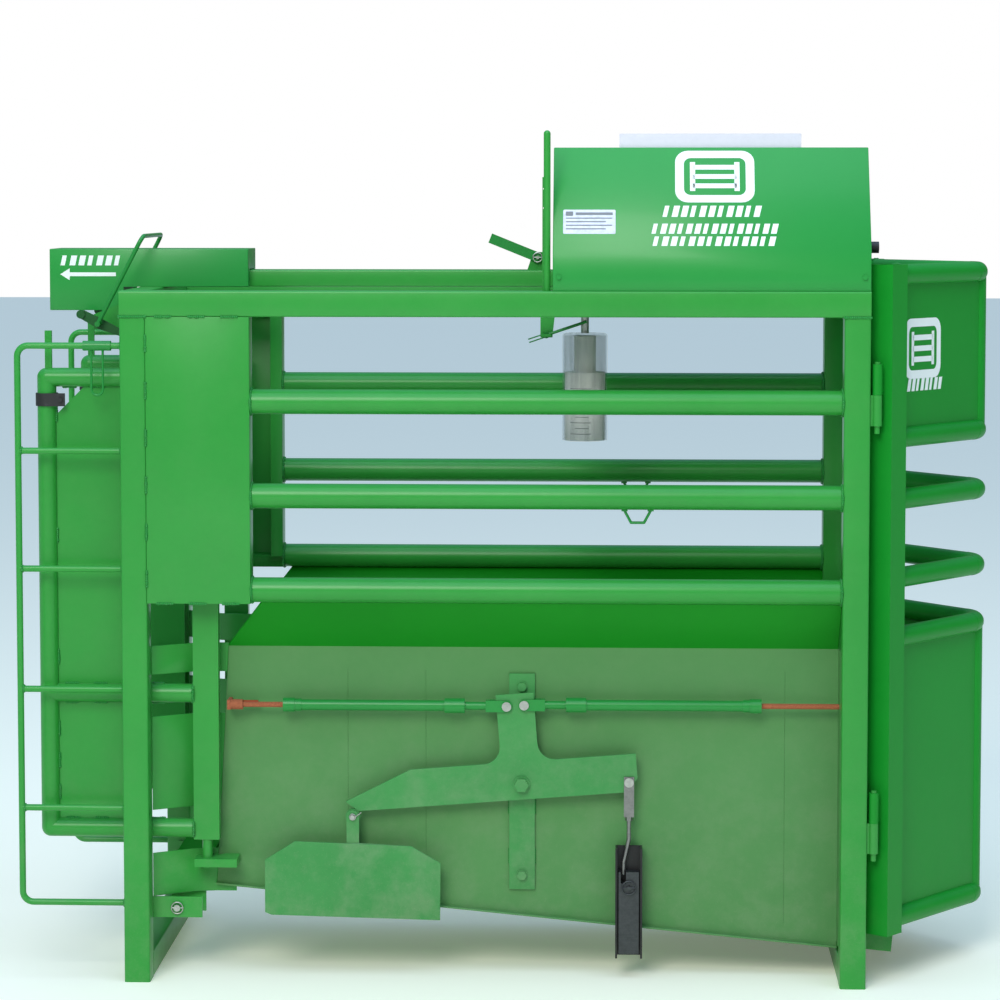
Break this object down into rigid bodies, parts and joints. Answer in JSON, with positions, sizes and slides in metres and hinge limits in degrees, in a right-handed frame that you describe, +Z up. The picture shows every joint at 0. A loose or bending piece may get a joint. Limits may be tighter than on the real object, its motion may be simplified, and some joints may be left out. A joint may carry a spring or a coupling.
{
  "type": "cattle squeeze chute",
  "caption": "Stand-up squeeze chute for cattle: tube frame, head gate with release lever, sloped floor, side balance linkage, V rear gate and covered winch.",
  "frame": {"origin": "centre of the bounding box on the ground, under the alley", "axes": "+X along the chute towards the rear gate, -Y towards the side with the linkage, +Z up"},
  "size_m": [2.8873, 0.94, 2.51],
  "materials": {
    "green_paint": "semi-gloss",
    "dark_green_paint": "semi-gloss",
    "zinc": "satin",
    "steel": "satin",
    "rusty_steel": "matt",
    "black_rubber": "matt",
    "black_paint": "semi-gloss",
    "aluminium": "satin",
    "clear_plastic": "clear",
    "pale_plastic": "satin",
    "black_plastic": "matt"
  },
  "bodies": {
    "frame": {"posts": "green_paint", "top_rails": "green_paint", "side_rails": "green_paint", "cross_tubes": "green_paint", "head_panels": "green_paint", "lower_sides": "green_paint", "floor_channels": "green_paint", "floor_deck": "dark_green_paint", "floor_brackets": "green_paint", "bracket_pins": "zinc", "wing_strips": "dark_green_paint", "leaf_bearings": "green_paint", "guard_ladders": "green_paint", "rail_rings": "green_paint", "top_beam": "green_paint", "release_cover": "green_paint", "release_brackets": "green_paint", "pawl_pin": "steel", "winch_cover": "green_paint", "cover_bolts": "zinc", "solar_panel": "aluminium", "cable_gland": "black_plastic", "winch_base": "steel", "winch_gearbox": "steel", "winch_motor": "black_paint", "winch_battery": "black_plastic", "lever_mast": "green_paint", "lynch_pin": "zinc", "hanger_brackets": "green_paint", "crank_strap": "green_paint", "crank_bolts": "zinc", "strut_rods": "rusty_steel", "latch_guide": "green_paint", "gate_hinges": "green_paint"},
    "near_head_leaf": {"gate_leaf_near": "green_paint", "leaf_sheet_near": "green_paint", "leaf_strap_near": "black_rubber"},
    "far_head_leaf": {"gate_leaf_far": "green_paint", "leaf_sheet_far": "green_paint", "leaf_strap_far": "black_rubber"},
    "release_lever": {"release_bail": "green_paint", "latch_rocker": "green_paint"},
    "pawl": {"latch_pawl": "steel"},
    "crank": {"bell_crank": "green_paint", "crank_pins": "zinc"},
    "left_strut": {"strut_left": "green_paint"},
    "right_strut": {"strut_right": "green_paint"},
    "pedal": {"pedal_plate": "green_paint"},
    "latch_bar": {"latch_rod": "zinc", "latch_tongue": "black_paint"},
    "drum": {"winch_drum": "steel"},
    "clutch_lever": {"winch_lever": "green_paint"},
    "canister": {"canister_rod": "steel", "clear_canister": "clear_plastic", "canister_liner": "pale_plastic"},
    "fork": {"trip_fork": "steel"},
    "hook": {"wire_hook": "green_paint"},
    "gate": {"rear_gate": "green_paint", "gate_sheets": "green_paint"},
    "gate_bolt": {"gate_latch": "zinc"}
  },
  "joints": [
    {"name": "near_leaf_swing", "type": "hinge", "parent": "frame", "child": "near_head_leaf", "pos_m": [-0.8935, -0.364, 1.1], "axis": [0, 0, -1], "range_deg": [0, 30]},
    {"name": "far_leaf_swing", "type": "hinge", "parent": "frame", "child": "far_head_leaf", "pos_m": [-0.8935, 0.364, 1.1], "axis": [0, 0, 1], "range_deg": [0, 30]},
    {"name": "release_pull", "type": "hinge", "parent": "frame", "child": "release_lever", "pos_m": [-1.2385, 0, 1.936], "axis": [0, -1, 0], "range_deg": [0, 57]},
    {"name": "pawl_lift", "type": "hinge", "parent": "frame", "child": "pawl", "pos_m": [-1.3305, 0, 2.045], "axis": [0, -1, 0], "range_deg": [0, 28.5]},
    {"name": "crank_rock", "type": "hinge", "parent": "frame", "child": "crank", "pos_m": [0.043, -0.358, 0.58], "axis": [0, 1, 0], "range_deg": [0, 10]},
    {"name": "left_strut_slide", "type": "slide", "parent": "frame", "child": "left_strut", "axis": [1, 0, 0], "range_m": [0, 0.0412]},
    {"name": "right_strut_slide", "type": "slide", "parent": "frame", "child": "right_strut", "axis": [1, 0, 0], "range_m": [0, 0.0419]},
    {"name": "pedal_hang", "type": "hinge", "parent": "crank", "child": "pedal", "pos_m": [-0.45873, -0.363, 0.48033], "axis": [0, 1, 0], "range_deg": [-10, 0]},
    {"name": "latch_bar_drop", "type": "slide", "parent": "frame", "child": "latch_bar", "axis": [0, 0, -1], "range_m": [0, 0.056]},
    {"name": "drum_spin", "type": "hinge", "parent": "frame", "child": "drum", "pos_m": [0.3855, 0, 2.155], "axis": [0, 1, 0], "continuous": true},
    {"name": "clutch_turn", "type": "hinge", "parent": "frame", "child": "clutch_lever", "pos_m": [0.0805, -0.02, 2.134], "axis": [0, 1, 0], "range_deg": [-14, 60]},
    {"name": "canister_swing", "type": "hinge", "parent": "frame", "child": "canister", "pos_m": [0.2255, -0.12, 2.007], "axis": [1, 0, 0], "range_deg": [0, 20]},
    {"name": "fork_trip", "type": "hinge", "parent": "frame", "child": "fork", "pos_m": [0.1095, -0.14, 1.903], "axis": [0, 1, 0], "range_deg": [-8, 4]},
    {"name": "hook_swing", "type": "hinge", "parent": "frame", "child": "hook", "pos_m": [-1.1985, -0.44, 1.883], "axis": [1, 0, 0], "range_deg": [-60, 5]},
    {"name": "rear_gate_swing", "type": "hinge", "parent": "frame", "child": "gate", "pos_m": [1.0755, -0.455, 1.1], "axis": [0, 0, -1], "range_deg": [0, 100]},
    {"name": "gate_bolt_slide", "type": "slide", "parent": "gate", "child": "gate_bolt", "axis": [-1, 0, 0], "range_m": [0, 0.04]}
  ],
  "couplings": [
    {"joint": "far_leaf_swing", "follows": "near_leaf_swing", "ratio": 1},
    {"joint": "pawl_lift", "follows": "release_pull", "ratio": 0.5},
    {"joint": "left_strut_slide", "follows": "crank_rock", "m_per_rad": 0.23323},
    {"joint": "right_strut_slide", "follows": "crank_rock", "m_per_rad": 0.23731},
    {"joint": "pedal_hang", "follows": "crank_rock", "ratio": -1},
    {"joint": "latch_bar_drop", "follows": "crank_rock", "m_per_rad": 0.31828}
  ]
}
